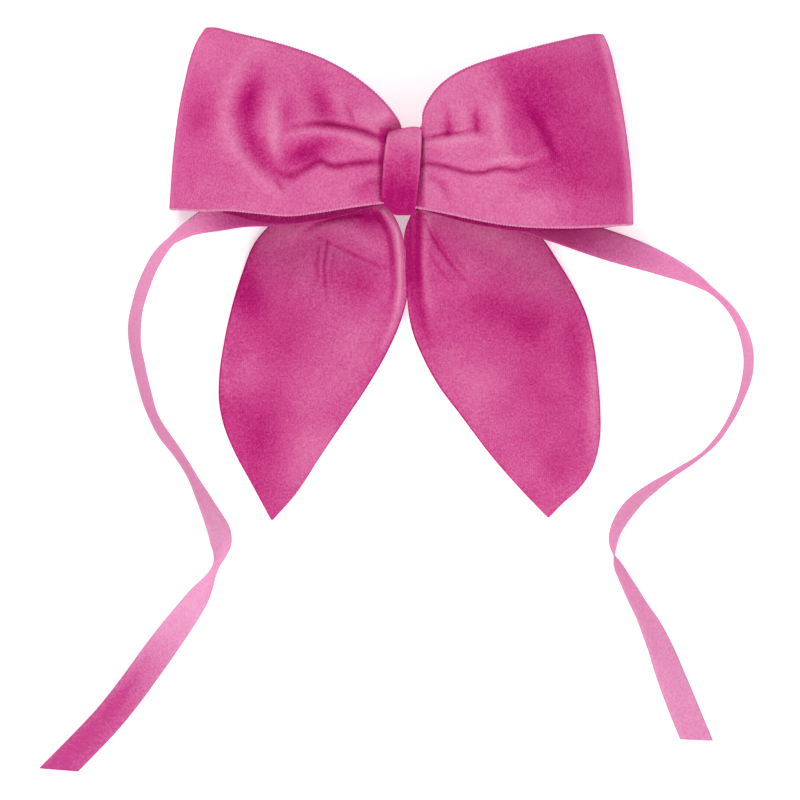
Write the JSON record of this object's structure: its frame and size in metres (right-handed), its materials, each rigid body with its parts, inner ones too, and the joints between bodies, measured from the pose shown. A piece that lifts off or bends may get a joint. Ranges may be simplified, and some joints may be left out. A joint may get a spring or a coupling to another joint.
{
  "type": "bow barrette",
  "caption": "Velvet bow with pointed tails and long narrow streamers on an arched auto-clasp hair clip that opens by squeezing its latch.",
  "frame": {"origin": "bottom centre of the bow's box, on the surface that the barrette lies on, with the two streamers left out", "axes": "+Z out of the bow's front, which faces up as the barrette lies on its back, +Y towards the top of the bow, +X along the clip towards its latch"},
  "size_m": [0.2344, 0.2474, 0.0326],
  "materials": {
    "velvet": "short-pile velvet, soft sheen",
    "ribbon_velvet": "narrow velvet ribbon, paler sheen",
    "felt": "pressed felt",
    "thread": "polyester thread",
    "clip_steel": "nickel-plated pressed steel",
    "spring_steel": "nickel-plated spring steel",
    "pin_steel": "bright steel pin and rivet"
  },
  "bodies": {
    "clip_and_bow": {"base_plate": "clip_steel", "hinge_pin": "pin_steel", "latch_base": "spring_steel", "latch_rivet": "pin_steel", "clip_lining": "felt", "end_stitches": "thread", "knot_band": "velvet", "knot_seam": "thread", "cinch_thread": "thread", "left_loop": "velvet", "right_loop": "velvet", "left_tail": "velvet", "right_tail": "velvet", "left_streamer": "ribbon_velvet", "right_streamer": "ribbon_velvet"},
    "arm": {"clasp_arm": "clip_steel"},
    "bar": {"tension_bar": "spring_steel"},
    "front_prong": {"latch_prong_front": "spring_steel"},
    "rear_prong": {"latch_prong_rear": "spring_steel"}
  },
  "joints": [
    {"name": "arm_hinge", "type": "hinge", "parent": "clip_and_bow", "child": "arm", "pos_m": [-0.036, 0.0342, 0.003], "axis": [0, 1, 0], "range_deg": [0, 80]},
    {"name": "bar_hinge", "type": "hinge", "parent": "clip_and_bow", "child": "bar", "pos_m": [-0.036, 0.0342, 0.003], "axis": [0, 1, 0], "range_deg": [0, 12]},
    {"name": "front_prong_squeeze", "type": "hinge", "parent": "clip_and_bow", "child": "front_prong", "pos_m": [0.033, 0.0316, 0.0074], "axis": [1, 0, 0], "range_deg": [0, 9], "stiffness_Nm_per_rad": 0.02},
    {"name": "rear_prong_squeeze", "type": "hinge", "parent": "clip_and_bow", "child": "rear_prong", "pos_m": [0.033, 0.0368, 0.0074], "axis": [-1, 0, 0], "range_deg": [0, 9], "stiffness_Nm_per_rad": 0.02}
  ],
  "couplings": [
    {"joint": "bar_hinge", "follows": "arm_hinge", "ratio": 0.15},
    {"joint": "rear_prong_squeeze", "follows": "front_prong_squeeze", "ratio": 1}
  ]
}
